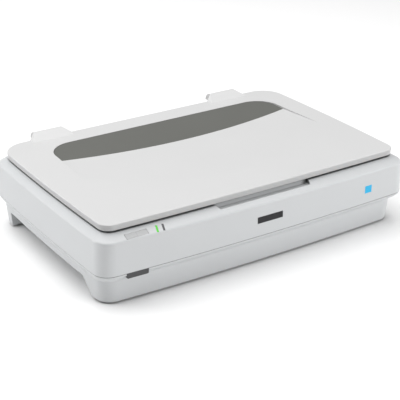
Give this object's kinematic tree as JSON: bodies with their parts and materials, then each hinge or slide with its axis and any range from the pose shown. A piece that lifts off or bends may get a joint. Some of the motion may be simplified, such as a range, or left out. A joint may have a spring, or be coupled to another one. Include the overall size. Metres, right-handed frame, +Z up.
{
  "type": "flatbed document scanner",
  "caption": "Large-format flatbed document scanner with a hinged, lift-off lid, a glass platen and a belt-driven scanning carriage.",
  "frame": {"origin": "on the floor, under the centre of the whole outline (lid closed)", "axes": "+X to the right and along the scan, -Y to the front, +Z up"},
  "size_m": [0.6618, 0.458, 0.158],
  "materials": {
    "housing_plastic": "fine texture",
    "lid_plastic": "fine texture",
    "crescent_grey": "satin",
    "badge_dark": "satin, bare",
    "label_blue": "satin, bare",
    "lock_grey": "fine texture",
    "button_grey": "satin",
    "light_green": "lit light guide",
    "light_dark": "unlit light guide",
    "rubber_black": "matte",
    "mat_white": "smooth foam-backed sheet",
    "strip_grey": "satin",
    "calibration_white": "matte",
    "platen_clear": "clear",
    "inner_black": "matte",
    "mirror_face": "front-surface",
    "lens_black": "satin barrel",
    "light_guide": "translucent",
    "sensor_dark": "ceramic package",
    "board_green": "solder mask",
    "board_parts": "component bodies",
    "bronze": "sintered",
    "acetal_white": "satin",
    "ground_steel": "ground",
    "zinc_steel": "zinc plated",
    "motor_steel": "dark plated",
    "spring_steel": "drawn wire",
    "brass_plain": "plain",
    "belt_black": "matte",
    "cable_white": "laminated flat flex",
    "port_metal": "nickel plated",
    "hinge_steel": "painted"
  },
  "bodies": {
    "base": {"upper_housing": "housing_plastic", "lower_housing": "housing_plastic", "rubber_feet": "rubber_black", "housing_screws": "zinc_steel", "badge_plate": "badge_dark", "square_label": "label_blue", "platen_glass": "platen_clear", "calibration_strip": "calibration_white", "scale_strips": "strip_grey", "power_light_bar": "light_green", "error_light_bar": "light_dark", "control_board": "board_green", "hinge_sockets": "housing_plastic", "socket_screws": "zinc_steel", "guide_rod": "ground_steel", "rod_brackets": "zinc_steel", "slide_rail": "zinc_steel", "drive_belt": "belt_black", "stepper_motor": "motor_steel", "motor_bracket": "zinc_steel", "idler_bracket": "zinc_steel", "tension_spring": "spring_steel", "main_board": "board_green", "main_board_parts": "board_parts", "power_board": "board_green", "power_board_parts": "board_parts", "carriage_ribbon": "cable_white", "connector_plate": "zinc_steel", "mains_inlet": "inner_black", "inlet_pins": "brass_plain", "usb_port": "port_metal", "option_port": "port_metal"},
    "carriage": {"carriage_housing": "inner_black", "carriage_cover": "inner_black", "light_bars": "light_guide", "scan_mirrors": "mirror_face", "lens_holder": "inner_black", "lens": "lens_black", "sensor_board": "board_green", "image_sensor": "sensor_dark", "rod_bushes": "bronze", "slide_shoe": "acetal_white", "belt_clamp": "inner_black", "ribbon_socket": "acetal_white"},
    "drive_gear": {"drive_gear": "acetal_white"},
    "motor_pinion": {"motor_pinion": "brass_plain"},
    "idler_pulley": {"idler_pulley": "acetal_white"},
    "power_button": {"power_button": "button_grey"},
    "start_button": {"start_button": "button_grey"},
    "transport_lock": {"transport_lock": "lock_grey"},
    "hinge_posts": {"hinge_posts": "hinge_steel"},
    "lid": {"lid_top_cover": "lid_plastic", "crescent_panel": "crescent_grey", "lid_inner_cover": "lid_plastic", "document_mat": "mat_white", "lid_bumpers": "rubber_black", "lid_screws": "zinc_steel", "hinge_brackets": "hinge_steel", "hinge_pins": "ground_steel", "hinge_springs": "spring_steel"}
  },
  "joints": [
    {"name": "carriage_slide", "type": "slide", "parent": "base", "child": "carriage", "axis": [1, 0, 0], "range_m": [0, 0.45], "deforming": ["carriage_ribbon"]},
    {"name": "drive_gear_spin", "type": "hinge", "parent": "base", "child": "drive_gear", "pos_m": [0.2725, 0.1982, 0.084], "axis": [0, 1, 0], "range_deg": [0, 2606]},
    {"name": "motor_pinion_spin", "type": "hinge", "parent": "base", "child": "motor_pinion", "pos_m": [0.2725, 0.1875, 0.0539], "axis": [0, 1, 0], "range_deg": [-10422, 0]},
    {"name": "idler_pulley_spin", "type": "hinge", "parent": "base", "child": "idler_pulley", "pos_m": [-0.286, 0.1982, 0.084], "axis": [0, 1, 0], "range_deg": [0, 2606]},
    {"name": "power_button_press", "type": "slide", "parent": "base", "child": "power_button", "axis": [0, 0.4127, -0.9109], "range_m": [0, 0.0008], "stiffness_N_per_m": 400, "springref_m": -0.001},
    {"name": "start_button_press", "type": "slide", "parent": "base", "child": "start_button", "axis": [0, 0.4127, -0.9109], "range_m": [0, 0.0008], "stiffness_N_per_m": 400, "springref_m": -0.001},
    {"name": "transport_lock_pull", "type": "slide", "parent": "base", "child": "transport_lock", "axis": [0, -1, 0], "range_m": [0, 0.006]},
    {"name": "lid_lift_off", "type": "slide", "parent": "base", "child": "hinge_posts", "axis": [0, 0, 1], "range_m": [0, 0.08]},
    {"name": "lid_hinge", "type": "hinge", "parent": "hinge_posts", "child": "lid", "pos_m": [0, 0.212, 0.141], "axis": [-1, 0, 0], "range_deg": [0, 80]}
  ],
  "couplings": [
    {"joint": "drive_gear_spin", "follows": "carriage_slide", "rad_per_m": 101.01},
    {"joint": "motor_pinion_spin", "follows": "carriage_slide", "rad_per_m": -404.04},
    {"joint": "idler_pulley_spin", "follows": "carriage_slide", "rad_per_m": 101.01}
  ]
}
